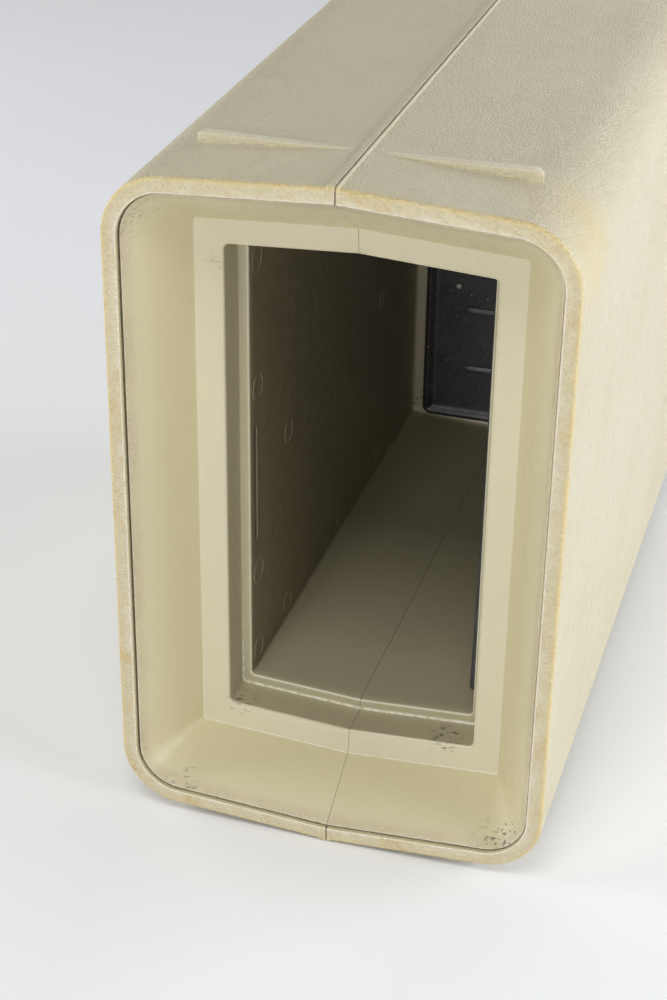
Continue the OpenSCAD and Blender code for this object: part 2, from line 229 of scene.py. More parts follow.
# ---------------------------------------------------------------- materials
class Nodes:
    """Short calls for building a material's node tree."""

    def __init__(self, name, roughness, specular=0.4):
        self.material = bpy.data.materials.new(name)
        self.material.use_nodes = True
        self.tree = self.material.node_tree
        self.shader = self.tree.nodes["Principled BSDF"]
        self.shader.inputs["Roughness"].default_value = roughness
        self.shader.inputs["Specular IOR Level"].default_value = specular
        self.place = self.add("ShaderNodeTexCoord").outputs["Object"]

    def add(self, kind, **values):
        node = self.tree.nodes.new(kind)
        for key, value in values.items():
            setattr(node, key, value)
        return node

    def join(self, source, target):
        self.tree.links.new(source, target)

    def put(self, socket, value):
        if hasattr(value, "is_output"):
            self.join(value, socket)
        else:
            socket.default_value = value

    def noise(self, scale, detail=2.0, rough=0.5, stretch=None):
        node = self.add("ShaderNodeTexNoise")
        node.inputs["Scale"].default_value = scale
        node.inputs["Detail"].default_value = detail
        node.inputs["Roughness"].default_value = rough
        where = self.place
        if stretch:
            mapping = self.add("ShaderNodeMapping")
            mapping.inputs["Scale"].default_value = stretch
            self.join(where, mapping.inputs["Vector"])
            where = mapping.outputs["Vector"]
        self.join(where, node.inputs["Vector"])
        return node.outputs["Fac"]

    def cells(self, scale):
        """Distance to the middle of the nearest cell, in cell sizes."""
        node = self.add("ShaderNodeTexVoronoi")
        node.inputs["Scale"].default_value = scale
        self.join(self.place, node.inputs["Vector"])
        return node.outputs["Distance"]

    def math(self, operation, a, b=0.0):
        node = self.add("ShaderNodeMath", operation=operation)
        self.put(node.inputs[0], a)
        self.put(node.inputs[1], b)
        return node.outputs[0]

    def ramp(self, value, low, high, out_low=0.0, out_high=1.0):
        """value from low to high becomes out_low to out_high, smoothly, and stops there."""
        node = self.add("ShaderNodeMapRange", interpolation_type="SMOOTHSTEP")
        self.put(node.inputs["Value"], value)
        for key, v in (("From Min", low), ("From Max", high), ("To Min", out_low), ("To Max", out_high)):
            node.inputs[key].default_value = v
        return node.outputs["Result"]

    def axis(self, name):
        node = self.add("ShaderNodeSeparateXYZ")
        self.join(self.place, node.inputs[0])
        return node.outputs[name]

    def facing(self, name):
        """Part of the surface's own direction, in the object's frame."""
        geometry = self.add("ShaderNodeTexCoord").outputs["Normal"]
        node = self.add("ShaderNodeSeparateXYZ")
        self.join(geometry, node.inputs[0])
        return node.outputs[name]

    def mark(self, name):
        """A number that the mesh carries at each of its points."""
        return self.add("ShaderNodeAttribute", attribute_name=name).outputs["Fac"]

    def near(self, point, radius):
        """1 at a point of the object, fading to 0 at radius."""
        node = self.add("ShaderNodeVectorMath", operation="DISTANCE")
        self.join(self.place, node.inputs[0])
        node.inputs[1].default_value = point
        return self.ramp(node.outputs["Value"], 0.25 * radius, radius, 1.0, 0.0)

    def times(self, *values):
        product = values[0]
        for value in values[1:]:
            product = self.math("MULTIPLY", product, value)
        return product

    def mix(self, share, a, b, kind="MIX"):
        node = self.add("ShaderNodeMix", data_type="RGBA", blend_type=kind)
        self.put(node.inputs["Factor"], share)
        self.put(node.inputs["A"], a)
        self.put(node.inputs["B"], b)
        return node.outputs["Result"]

    def bump(self, height, distance, strength=1.0, under=None):
        node = self.add("ShaderNodeBump")
        node.inputs["Strength"].default_value = strength
        node.inputs["Distance"].default_value = distance
        self.join(height, node.inputs["Height"])
        if under is not None:
            self.join(under, node.inputs["Normal"])
        return node.outputs["Normal"]

    def done(self, colour, normal=None, roughness=None):
        self.join(colour, self.shader.inputs["Base Color"])
        if normal is not None:
            self.join(normal, self.shader.inputs["Normal"])
        if roughness is not None:
            self.join(roughness, self.shader.inputs["Roughness"])
        return self.material


def rgb(r, g, b):
    return (r, g, b, 1.0)


BEIGE = rgb(0.585, 0.535, 0.372)
BEIGE_DULL = rgb(0.535, 0.480, 0.315)
FLARE_TONE_BOUNCE_SHADE = rgb(0.545, 0.490, 0.300)
# Pale colour of edges: partly rubbed, partly painted highlight.
PALE_WEAR_AND_HIGHLIGHT = rgb(0.72, 0.69, 0.57)
GOLDEN = rgb(0.60, 0.47, 0.20)
BROWN_DIRT = rgb(0.30, 0.22, 0.13)
GRIME = rgb(0.075, 0.06, 0.045)
# Where dirt has settled on the liner: place, reach and how dark.
DIRTY_SPOTS = (
    ((0.126, FRONT + 0.007, Z_MID - 0.222), 0.026, 0.95),
    ((-0.110, FRONT + 0.008, Z_MID - 0.228), 0.022, 0.5),
    ((-0.136, FRONT + 0.008, Z_MID + 0.214), 0.030, 0.35),
    ((0.070, FRONT + 0.064, LINER_Z - 0.182), 0.018, 1.0),
    ((-0.084, FRONT + 0.062, LINER_Z - 0.182), 0.016, 0.8),
    ((-0.080, FRONT + 0.538, LINER_Z - 0.165), 0.020, 1.0),
    ((-0.096, FRONT + 0.055, LINER_Z + 0.165), 0.014, 0.3),
)


def pebbles(n):
    """Height of the moulded leather grain, from 0 in its creases to 1."""
    grain = n.math("ADD", n.times(n.cells(640), 0.85), n.times(n.noise(1500, 2, 0.6), 0.22))
    return n.ramp(grain, 0.12, 0.72)


def specks(n, scale, size, patch_scale, patch_low):
    """Small separate dots, gathered in patches."""
    dots = n.ramp(n.cells(scale), 0.0, size, 1.0, 0.0)
    return n.times(dots, n.ramp(n.noise(patch_scale, 2), patch_low, patch_low + 0.05))


def shell_material():
    n = Nodes("beige_pebbled", 0.46, 0.55)
    n.shader.inputs["Sheen Weight"].default_value = 0.22
    n.shader.inputs["Sheen Roughness"].default_value = 0.35
    n.shader.inputs["Sheen Tint"].default_value = rgb(1.0, 0.96, 0.80)
    front = n.math("SUBTRACT", n.axis("Y"), FRONT)
    height = pebbles(n)
    colour = n.mix(n.ramp(n.noise(7, 4), 0.35, 0.7, 0, 0.6), BEIGE, BEIGE_DULL)
    colour = n.mix(n.ramp(n.noise(42, 4, 0.65), 0.52, 0.78, 0, 0.35), colour, rgb(0.50, 0.43, 0.27))
    # Painted shade: the creases of the grain are darkened.
    colour = n.mix(n.ramp(height, 0.0, 0.8, 0.24, 0.0), colour, rgb(0.33, 0.28, 0.18))
    # The first millimetres behind the rim have yellowed, and the rim's inner wall down into the gap is
    # darkened as painted shade.
    inset = n.mark("inset")
    patchy = n.ramp(n.noise(70, 3), 0.30, 0.60, 0.35, 1.0)
    fade = n.times(n.ramp(front, 0.8 * MM, 4.5 * MM, 0.85, 0.0), patchy)
    colour = n.mix(n.ramp(inset, 10.9, 11.2), n.mix(fade, colour, GOLDEN), rgb(0.47, 0.42, 0.25))
    # The face of the rim is rubbed: golden at its outer edge, chalky towards its inner edge, whose
    # rounded brink carries a painted highlight.
    rubbed = n.times(n.ramp(n.facing("Y"), -0.70, -0.92), n.ramp(front, 1.4 * MM, 2.4 * MM, 1.0, 0.0))
    fine = n.ramp(n.noise(480, 4, 0.7), 0.30, 0.70)
    face = n.mix(fine, rgb(0.510, 0.434, 0.264), rgb(0.578, 0.512, 0.346))
    patches = n.ramp(n.noise(48, 4, 0.6), 0.36, 0.62)
    chalk = n.times(n.ramp(inset, 4.5, 9.5, 0.10, 0.60), patches)
    face = n.mix(chalk, face, rgb(0.632, 0.583, 0.445))
    blotches = n.ramp(n.noise(70, 3, 0.6), 0.25, 0.60, 0.45, 1.0)
    gold = n.times(n.ramp(inset, 0.8, 4.2, 0.95, 0.0), blotches)
    face = n.mix(gold, face, rgb(0.60, 0.475, 0.22))
    mottle = n.ramp(n.noise(260, 3, 0.6), 0.35, 0.6, 0.3, 0.85)
    stain = n.times(n.ramp(n.noise(30, 5, 0.7), 0.50, 0.64), mottle)
    face = n.mix(stain, face, rgb(0.52, 0.385, 0.18))
    face = n.mix(specks(n, 240, 0.10, 60, 0.56), face, rgb(0.40, 0.31, 0.19))
    # Painted highlight: a pale line along the rim's rounded inner edge.
    rim_edge_highlight = n.times(n.ramp(inset, 9.6, 10.4), n.ramp(inset, 10.9, 11.3, 1.0, 0.0))
    rim_edge_highlight = n.times(rim_edge_highlight, n.ramp(n.noise(120, 3), 0.32, 0.5, 0.3, 0.85))
    face = n.mix(rim_edge_highlight, face, rgb(0.71, 0.68, 0.57))
    colour = n.mix(rubbed, colour, face)
    # Pale edges at the seam and on the ribs: partly rubbed, partly painted highlight.
    edge_breakup = n.ramp(n.noise(210, 4, 0.65), 0.36, 0.58, 0.25, 0.95)
    rubbed_and_lit_edge = n.times(n.ramp(n.mark("wear"), 0.35, 0.9), edge_breakup)
    colour = n.mix(rubbed_and_lit_edge, colour, PALE_WEAR_AND_HIGHLIGHT)
    yellowed = n.near((0.140, FRONT + 0.045, Z_MID + 0.212), 0.060)
    yellowed = n.times(yellowed, n.ramp(n.noise(38, 3), 0.3, 0.65, 0.2, 0.6))
    colour = n.mix(yellowed, colour, GOLDEN)
    colour = n.mix(n.times(specks(n, 95, 0.055, 19, 0.60), 0.8), colour, GRIME)
    grained = n.math("MAXIMUM", height, n.ramp(n.mark("wear"), 0.05, 0.34))
    normal = n.bump(grained, 0.6 * MM, 0.8)
    normal = n.bump(n.times(n.noise(520, 4, 0.65), rubbed), 0.5 * MM, 0.4, normal)
    return n.done(colour, normal, n.ramp(n.noise(90, 3), 0.3, 0.7, 0.40, 0.54))


def liner_material():
    n = Nodes("beige_smooth", 0.40, 0.45)
    front = n.math("SUBTRACT", n.axis("Y"), FRONT)
    colour = n.mix(n.ramp(n.noise(6, 3), 0.35, 0.7, 0, 0.45), BEIGE, rgb(0.555, 0.505, 0.350))
    # The flare is deeper in colour, most of all just in front of the ledge: partly its own tone, partly
    # painted yellow bounce light and painted shade.
    inwards = n.ramp(front, 4 * MM, 40 * MM, 0.55, 1.0)
    flare = n.times(n.ramp(front, 52.0 * MM, 52.9 * MM, 1.0, 0.0), inwards)
    colour = n.mix(flare, colour, FLARE_TONE_BOUNCE_SHADE)
    # Painted shade: the doorway is darker than the ledge and the cavity darker still, its walls more than
    # its floor and less towards the back.
    upright = n.ramp(n.math("ABSOLUTE", n.facing("X")), 0.5, 0.9, 0.34, 0.95)
    cavity_shade = n.times(n.ramp(front, 84 * MM, 87 * MM), n.ramp(front, 536 * MM, 540 * MM, 1.0, 0.0), upright)
    cavity_shade = n.times(cavity_shade, n.ramp(front, 95 * MM, 540 * MM, 1.0, 0.45))
    colour = n.mix(n.ramp(front, 56.5 * MM, 58 * MM, 0.0, 0.44), colour, rgb(0.34, 0.31, 0.195))
    colour = n.mix(cavity_shade, colour, rgb(0.238, 0.206, 0.130))
    # Painted shade: the return of the doorway is darker still.
    jamb_shade = n.times(n.ramp(front, 56.5 * MM, 58 * MM), n.ramp(front, 83.5 * MM, 86 * MM, 0.36, 0.0))
    colour = n.mix(jamb_shade, colour, rgb(0.31, 0.275, 0.15))
    # Painted shade where the cavity's walls turn into the rear wall.
    colour = n.mix(n.ramp(front, 538 * MM, 540 * MM, 0.0, 0.40), colour, rgb(0.30, 0.255, 0.175))
    streaks = n.ramp(n.noise(5, 3, 0.6, stretch=(9, 9, 1)), 0.5, 0.75, 0, 0.14)
    colour = n.mix(streaks, colour, rgb(0.47, 0.42, 0.26))
    # Dirt gathers at the front lip of the flare and thins out inwards.
    uneven = n.ramp(n.noise(22, 3), 0.30, 0.62, 0.45, 1.0)
    lip = n.times(n.ramp(front, 1.5 * MM, 12 * MM, 1.0, 0.0), uneven)
    haze = n.times(lip, n.ramp(n.noise(300, 3, 0.6), 0.30, 0.62, 0.35, 0.75))
    colour = n.mix(haze, colour, rgb(0.43, 0.355, 0.255))
    grit = n.times(lip, n.ramp(n.noise(820, 4, 0.7), 0.54, 0.64, 0.0, 0.8))
    colour = n.mix(grit, colour, BROWN_DIRT)
    for point, radius, amount in DIRTY_SPOTS:
        smudge = n.ramp(n.noise(330, 4, 0.7, stretch=(0.5, 1.0, 1.3)), 0.55, 0.61, 0.0, amount)
        colour = n.mix(n.times(n.near(point, radius), smudge), colour, GRIME)
    colour = n.mix(n.times(specks(n, 120, 0.055, 23, 0.545), 0.85), colour, GRIME)
    colour = n.mix(n.times(specks(n, 230, 0.13, 26, 0.47), 0.6), colour, GRIME)
    # Pale edges, kept to the lower part: partly rubbed, partly painted highlight.
    low = n.ramp(n.axis("Z"), Z_MID - 0.19, Z_MID - 0.10, 1.0, 0.12)
    broken = n.ramp(n.noise(140, 4, 0.7), 0.38, 0.56, 0.15, 0.9)
    pale = n.times(n.ramp(n.mark("wear"), 0.4, 0.95), broken, low)
    colour = n.mix(pale, colour, PALE_WEAR_AND_HIGHLIGHT)
    # Here the inset mark is 1 on the crease round the doorway and -1 on the pale strip of painted
    # highlight; the stop's edge carries the same painted highlight.
    line = n.mark("inset")
    colour = n.mix(n.ramp(line, 0.15, 0.95, 0.0, 0.75), colour, rgb(0.40, 0.33, 0.15))
    colour = n.mix(n.ramp(line, -0.2, -0.8, 0.0, 0.55), colour, rgb(0.74, 0.71, 0.56))
    normal = n.bump(n.noise(900, 2, 0.5), 0.12 * MM, 0.35)
    normal = n.bump(n.noise(14, 2, 0.5), 2.0 * MM, 0.10, normal)
    return n.done(colour, normal, n.ramp(n.noise(120, 3), 0.3, 0.7, 0.34, 0.48))


def black_panel_material():
    n = Nodes("black_grained", 0.5, 0.5)
    dark, light = rgb(0.024, 0.0225, 0.0235), rgb(0.037, 0.034, 0.033)
    colour = n.mix(n.ramp(n.noise(30, 4), 0.4, 0.7), dark, light)
    dust = n.ramp(n.noise(260, 4, 0.7), 0.52, 0.72, 0.0, 0.30)
    colour = n.mix(dust, colour, rgb(0.20, 0.17, 0.13))
    colour = n.mix(n.times(specks(n, 170, 0.075, 26, 0.50), 0.8), colour, rgb(0.50, 0.48, 0.43))
    flecks = n.times(n.ramp(n.cells(90), 0.02, 0.085, 0.95, 0.0), n.ramp(n.noise(31, 2), 0.45, 0.50))
    colour = n.mix(flecks, colour, rgb(0.46, 0.40, 0.31))
    normal = n.bump(n.noise(1100, 2, 0.6), 0.25 * MM, 0.6)
    return n.done(colour, normal, n.ramp(n.noise(45, 3), 0.3, 0.7, 0.30, 0.44))


def black_bar_material():
    n = Nodes("black_coat", 0.42, 0.5)
    worn = n.ramp(n.noise(420, 4, 0.75), 0.64, 0.70)
    colour = n.mix(worn, rgb(0.022, 0.021, 0.021), rgb(0.30, 0.29, 0.27))
    dust = n.ramp(n.noise(70, 3), 0.45, 0.75, 0, 0.35)
    colour = n.mix(dust, colour, rgb(0.06, 0.052, 0.042))
    normal = n.bump(n.noise(700, 3, 0.6), 0.25 * MM, 0.6)
    return n.done(colour, normal, n.ramp(worn, 0, 1, 0.5, 0.28))


def steel_material():
    n = Nodes("zinc_steel", 0.38)
    n.shader.inputs["Metallic"].default_value = 1.0
    brushed = n.noise(180, 4, 0.6, stretch=(1, 1, 12))
    colour = n.mix(n.ramp(brushed, 0.3, 0.7), rgb(0.48, 0.49, 0.50), rgb(0.66, 0.66, 0.65))
    spots = n.ramp(n.noise(60, 4, 0.7), 0.60, 0.74, 0, 0.5)
    colour = n.mix(spots, colour, rgb(0.28, 0.20, 0.13))
    return n.done(colour, n.bump(brushed, 0.08 * MM, 0.5), n.ramp(brushed, 0.3, 0.7, 0.30, 0.48))


def pale_material():
    n = Nodes("pale_rivet", 0.45)
    colour = n.mix(n.ramp(n.noise(400, 4), 0.35, 0.7), rgb(0.36, 0.34, 0.30), rgb(0.50, 0.48, 0.43))
    normal = n.bump(n.noise(900, 2), 0.1 * MM, 0.5)
    return n.done(colour, normal, n.ramp(n.noise(300, 2), 0.3, 0.7, 0.4, 0.6))


def cement_material():
    n = Nodes("cast_cement", 0.9, 0.2)
    colour = n.mix(n.ramp(n.noise(120, 5, 0.7), 0.3, 0.7), rgb(0.16, 0.14, 0.11), rgb(0.26, 0.24, 0.20))
    pores = n.ramp(n.cells(260), 0.0, 0.25, 0.8, 0.0)
    colour = n.mix(pores, colour, rgb(0.06, 0.05, 0.04))
    height = n.math("SUBTRACT", n.noise(300, 5, 0.7), pores)
    return n.done(colour, n.bump(height, 0.8 * MM, 0.8), n.ramp(n.noise(200, 2), 0.3, 0.7, 0.82, 0.95))


def seal_material():
    n = Nodes("swelling_strip", 0.8, 0.25)
    colour = n.mix(n.ramp(n.noise(240, 4, 0.7), 0.35, 0.7), rgb(0.13, 0.06, 0.04), rgb(0.24, 0.12, 0.08))
    normal = n.bump(n.noise(500, 3), 0.3 * MM, 0.6)
    return n.done(colour, normal, n.ramp(n.noise(90, 2), 0.3, 0.7, 0.72, 0.9))


MATERIALS = {
    "shell": shell_material(),
    "liner": liner_material(),
    "black_plastic": black_panel_material(),
    "black_metal": black_bar_material(),
    "steel": steel_material(),
    "pale_plastic": pale_material(),
    "filling": cement_material(),
    "seal": seal_material(),
}


def dress(obj, slot, *nodes):
    """Gives a piece the material of its slot, puts it under the root body and hides the CAD nodes that it
    stands for.
    """
    obj.data.materials.clear()
    obj.data.materials.append(MATERIALS[slot])
    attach(obj, "root")
    if nodes:
        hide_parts(*nodes)
    return obj


# ---------------------------------------------------------------- camera
def make_camera():
    """The view from above and to the right of the doorway."""
    yaw, pitch, roll = (math.radians(a) for a in (-16.657, 29.427, 0.852))
    level = Vector((math.sin(yaw), math.cos(yaw), 0))
    forward = math.cos(pitch) * level - math.sin(pitch) * Vector((0, 0, 1))
    across = Vector((math.cos(yaw), -math.sin(yaw), 0))
    up = across.cross(forward)
    right = math.cos(roll) * across + math.sin(roll) * up
    up = -math.sin(roll) * across + math.cos(roll) * up
    data = bpy.data.cameras.new("camera")
    data.sensor_width = 36
    data.lens = 73.45
    data.clip_start, data.clip_end = 0.05, 50
    camera = bpy.data.objects.new("camera", data)
    bpy.context.scene.collection.objects.link(camera)
    turn = Matrix((right, up, -forward)).transposed().to_4x4()
    camera.matrix_world = Matrix.Translation(
        Vector((0.33345, FRONT - 1.10777, Z_MID + 0.68595))
    ) @ turn
    bpy.context.scene.camera = camera


make_camera()


# ---------------------------------------------------------------- outer shell
SHELL_DEPTHS = (12, 30, 55, 90, 140, 200, 260, 320, 380, 440, 500)
BACK_STEPS = 12
BACK_SHARE = 0.985      # how much of the edge radius the rounding towards the back takes in
CORNER_LEAST, CORNER_FALL = 12 * MM, 1.8
BACK_BORDER = 3 * MM


def shell_rings(inset, back_y, raised=1):
    """Rings of the shell from just behind the rim to the flat of the back."""
    r = EDGE_R - inset
    out = []
    for y in SHELL_DEPTHS:
        out.append(Ring(HALF_W - inset, FACE_H - inset, r, Z_MID, y * MM, lift_out=raised))
    for i in range(BACK_STEPS + 1):
        a = math.radians(90 * i / BACK_STEPS)
        shrink = inset + r * (1 - math.cos(a)) * BACK_SHARE
        # The corners stay full, and the crown flattens out as the outline shrinks.
        corner = max(CORNER_LEAST, r - CORNER_FALL * (shrink - inset))
        out.append(Ring(
            HALF_W - shrink, FACE_H - shrink, corner, Z_MID, back_y - r * (1 - math.sin(a)),
            lift_out=raised * math.cos(a), lift_back=raised * math.sin(a),
            draft=max(0.0, DRAFT - (shrink - inset) / (HALF_W - EDGE_R)),
        ))
    shrink += BACK_BORDER
    out.append(Ring(
        HALF_W - shrink, FACE_H - shrink, corner, Z_MID, back_y, lift_back=raised, draft=0.0,
    ))
    return out


# The rim in section, as distances in millimetres in from the outside and back from the front.
RIM_SECTION = (
    (11.5, 6.0), (11.5, 2.6), (11.45, 1.3), (11.2, 0.55), (10.8, 0.15), (10.2, 0.0), (9.3, 0.0),
    (8.6, 0.12), (7.0, 0.16), (5.0, 0.14), (3.4, 0.10), (2.6, 0.12), (1.8, 0.28), (1.1, 0.62),
    (0.55, 1.15), (0.2, 1.9), (0.04, 2.9), (0.0, 4.2),
)


def shell_outside():
    """Rim, front edge and outer surface."""
    out = []
    for inset, y in RIM_SECTION:
        out.append(Ring(
            HALF_W - inset * MM, FACE_H - inset * MM, EDGE_R - inset * MM, Z_MID, y * MM,
            lift_out=max(0.0, 1 - inset * MM / RIM_W), inset=inset,
        ))
    return out + shell_rings(0, FACE_D)


def shell_inside():
    """Hidden inner surface, from the back of the rim to the inside of the back wall."""
    first = Ring(HALF_W - RIM_W, FACE_H - RIM_W, EDGE_R - RIM_W, Z_MID, RIM_T + 0.01 * MM)
    second = Ring(HALF_W - SHELL_T, FACE_H - SHELL_T, EDGE_R - SHELL_T, Z_MID, RIM_T + 0.5 * MM)
    return [first, second] + shell_rings(SHELL_T, FACE_D - SHELL_T, raised=0)


def make_rib(side, depth, top):
    """Wedge that rises from nothing by the seam to a blunt, rounded end by the side."""
    bm = bmesh.new()
    wear = bm.verts.layers.float.new("wear")
    up = 1 if top else -1
    stations = 30
    root, start, end_round = -1.2 * MM, 0.15 * MM, 3.2 * MM
    rows = []
    for i in range(stations + 1):
        share = i / stations
        x = RIB_NEAR + (RIB_FAR - RIB_NEAR) * share
        face = FACE_H - DRAFT * x
        full = start + (RIDGE_H + DRAFT * RIB_FAR - start) * share
        end = min(1.0, (RIB_FAR - x) / end_round + 0.03)
        squeeze = math.sqrt(max(0.0, 1 - (1 - end) ** 2))
        half = RIB_T / 2 * (0.35 + 0.65 * min(1.0, share * 3 + 0.1)) * (0.5 + 0.5 * squeeze)
        tall = full - (1 - squeeze) * 2.6 * MM
        edge = min(1.1 * MM, max(0.05 * MM, tall * 0.5), half * 0.8)
        middle = FRONT + depth + RIB_T / 2
        section = [(-half, root), (-half, tall - edge)]
        section += [
            (-half + edge * (1 - math.cos(a)), tall - edge * (1 - math.sin(a)))
            for a in (math.radians(d) for d in (22.5, 45, 67.5, 90))
        ]
        section += [(-y, z) for y, z in reversed(section)]
        rows.append([(side * x, middle + y, Z_MID + up * (face + z)) for y, z in section])
    grid = add_rows(bm, rows)
    for a, b in zip(grid, grid[1:]):
        bm.faces.new((a[-1], a[0], b[0], b[-1]))
    bm.faces.new(grid[0])
    bm.faces.new(list(reversed(grid[-1])))
    # Pale marks on the rib's flanks and top: partly rubbed, partly painted highlight.
    for row in grid:
        for vert in row[1:-1]:
            vert[wear] = 0.32
        for vert in row[4:-3]:
            vert[wear] = 0.62
    return finish_mesh("rib", bm, 55)


def join(main, extras):
    """Adds the meshes of extras to main, as parts of one moulding."""
    bm = bmesh.new()
    bm.from_mesh(main.data)
    for extra in extras:
        bm.from_mesh(extra.data)
        bpy.data.objects.remove(extra)
    bm.to_mesh(main.data)
    bm.free()
    return main


def make_shell(side, name):
    w = RIDGE_W[side]
    gap = SEAM_GAP
    seam_xs = [gap, gap + 0.12 * MM, gap + 0.4 * MM, w - 0.5 * MM, w - 0.15 * MM,
               w + 0.25 * MM, w + 1.2 * MM, w + 6 * MM]
    lifts = [0.30 * MM, 0.75 * MM, RIDGE_H, RIDGE_H, 0.8 * MM, 0.1 * MM, 0, 0]
    # Pale edges along the seam: partly rubbed, partly painted highlight.
    seam_wear = [0.5, 0.85, 0.2, 0.1, 0.75, 0.0]
    counts = {"across": 10, "round_steps": 16, "down": 30}
    shell = half_moulding(name, side, shell_outside(), shell_inside(), seam_xs, lifts, seam_wear, counts)
    ribs = [make_rib(side, depth, top) for depth in RIB_DEPTHS for top in (True, False)]
    return dress(join(shell, ribs), "shell", name.replace("_skin", ""))


make_shell(LEFT, "outer_shell_left_skin")
make_shell(RIGHT, "outer_shell_right_skin")


# ---------------------------------------------------------------- liner
def liner_keys(side, t=0.0):
    """Mouth, ledge, doorway and cavity as (w, h, r, z), grown by the wall t."""
    wide = HALF_W - RIM_W - (GAP_FAR if side == LEFT else GAP_NEAR)
    tall = FACE_H - RIM_W - (GAP_NEAR + GAP_FAR) / 2
    mouth = (wide, tall, EDGE_R - RIM_W - 1.2 * MM, Z_MID + (GAP_FAR - GAP_NEAR) / 2)
    ledge = (LEDGE_W + t, LEDGE_H + t, 3 * MM + t, LINER_Z)
    door = (DOORWAY_W + t, DOORWAY_H + t, 4 * MM + t, LINER_Z)
    cavity = (CAVITY_W + t, CAVITY_H + t, 3 * MM + t, LINER_Z)
    return mouth, ledge, door, cavity


# How far the cavity's side walls sag inwards at half height: (depth, sag) in millimetres.
CAVITY_BOWS = (
    (92, 0), (110, 0.3), (150, 0.7), (200, 1.0), (260, 1.2), (320, 1.2), (380, 1.0), (440, 0.6),
    (500, 0.2), (530, 0),
)


def wall_sag(depth, z):
    """Sag of the cavity's side wall at a depth from the rim and a height from its middle."""
    depth /= MM
    sag = 0.0
    for (a, low), (b, high) in zip(CAVITY_BOWS, CAVITY_BOWS[1:]):
        if a <= depth <= b:
            sag = low + (high - low) * (depth - a) / (b - a)
    return sag * MM * max(0.0, 1 - (z / (CAVITY_H - DRAFT * CAVITY_W)) ** 2)


def liner_inside_rings(side):
    """The visible surface, from the lip of the flare to the rear wall of the cavity.

    Depths are in millimetres from the rim: the ledge lies at 53, the doorway's edge at 55.4,
    the door stop at 83 and the rear wall at 541.
    """
    mouth, ledge, door, cavity = liner_keys(side)

    def ring(key, by, y, radius_by=None, wear=0.0, bow=0.0, inset=0.0):
        extra = by if radius_by is None else radius_by
        return Ring(
            key[0] + by * MM, key[1] + by * MM, max(0.6 * MM, key[2] + extra * MM), key[3], y * MM,
            inset=inset, wear=wear, bow=bow * MM,
        )

    def blend(a, b, t, y):
        return Ring(*(a[i] + (b[i] - a[i]) * t for i in range(4)), y * MM)

    # The lip of the flare is painted pale along its edge: painted highlight.
    rings = [ring(mouth, 0, 3.0), ring(mouth, -0.1, 2.4, wear=0.7), ring(mouth, -0.4, 2.05, wear=1.0),
             ring(mouth, -0.85, 2.1, wear=0.6), ring(mouth, -1.5, 2.8)]
    rings += [blend(mouth, ledge, t, LEDGE_Y / MM * t) for t in (0.12, 0.3, 0.5, 0.7, 0.86, 0.96, 0.988)]
    # The ledge's edge is painted pale: partly rubbed, partly painted highlight.
    rings += [ring(ledge, 0.05, 52.85, wear=0.75), ring(ledge, -0.25, 53.03, wear=0.8),
              ring(ledge, -0.7, 53.08)]
    rings += [blend(ledge, door, t, 53 + 2.4 * t) for t in (0.15, 0.4, 0.7, 0.88)]
    # A crease runs round the doorway's edge; on the right half the rounded edge inside it carries a pale
    # strip of painted highlight, and the edges of the doorway and stop are painted pale, partly rubbed
    # and partly painted highlight.
    crease, strip = (1.0, -1.0) if side == RIGHT else (0.35, 0.0)
    rings += [ring(door, 1.8, 55.24), ring(door, 1.5, 55.34, inset=crease), ring(door, 1.2, 55.32),
              ring(door, 0.95, 55.36, wear=0.5, inset=strip),
              ring(door, 0.28, 56.15, wear=0.45, inset=strip), ring(door, 0.05, 56.7, inset=strip),
              ring(door, 0, 57.4), ring(door, 0, 66), ring(door, -0.2, 76), ring(door, -0.3, 81.8),
              ring(door, -0.55, 82.6, wear=1.0), ring(door, -1.1, 82.98, wear=1.0)]
    # The stop's edge carries a pale strip of painted highlight, partly rubbed.
    rings += [blend(door, cavity, 0.5, 83.0), ring(cavity, 1.5, 83.02),
              ring(cavity, 0.8, 83.2, wear=0.6, inset=-0.8),
              ring(cavity, 0.25, 83.75, wear=0.7, inset=-0.8), ring(cavity, 0.0, 84.5)]
    rings += [ring(cavity, 0, y, bow=bow) for y, bow in CAVITY_BOWS]
    rings += [ring(cavity, 0, 537.5), ring(cavity, -0.5, 539.6, 0), ring(cavity, -1.6, 540.6, 0),
              ring(cavity, -3.5, 541, 0), ring(cavity, -6, 541, 0)]
    return rings


def liner_outside_rings(side):
    """Hidden outer surface, which is the visible one grown by the wall."""
    mouth, ledge, door, cavity = liner_keys(side, LINER_T)
    last = liner_keys(side)[3]
    return [
        Ring(*mouth, 5.0 * MM), Ring(*ledge, 57.5 * MM), Ring(*door, 58.9 * MM), Ring(*door, 86.5 * MM),
        Ring(*cavity, 86.52 * MM), Ring(*cavity, 543 * MM), Ring(*last, 544.5 * MM),
    ]


def make_ring_mark(side, depth, z, radius):
    """Raised ring that an ejector pin left on the side wall of the cavity."""
    bm = bmesh.new()
    around = 40
    wide, tall = 0.45 * MM, 0.33 * MM
    rows = []
    for i in range(around + 1):
        a = 2 * math.pi * i / around
        row = []
        for r, inward in ((radius - wide, -0.2 * MM), (radius, tall), (radius + wide, -0.2 * MM)):
            y, up = depth + r * math.cos(a), z + r * math.sin(a)
            row.append((side * (CAVITY_W - wall_sag(y, up) - inward), FRONT + y, LINER_Z + up))
        rows.append(row + [row[0]])
    add_rows(bm, rows)
    return finish_mesh("ring", bm, 80)


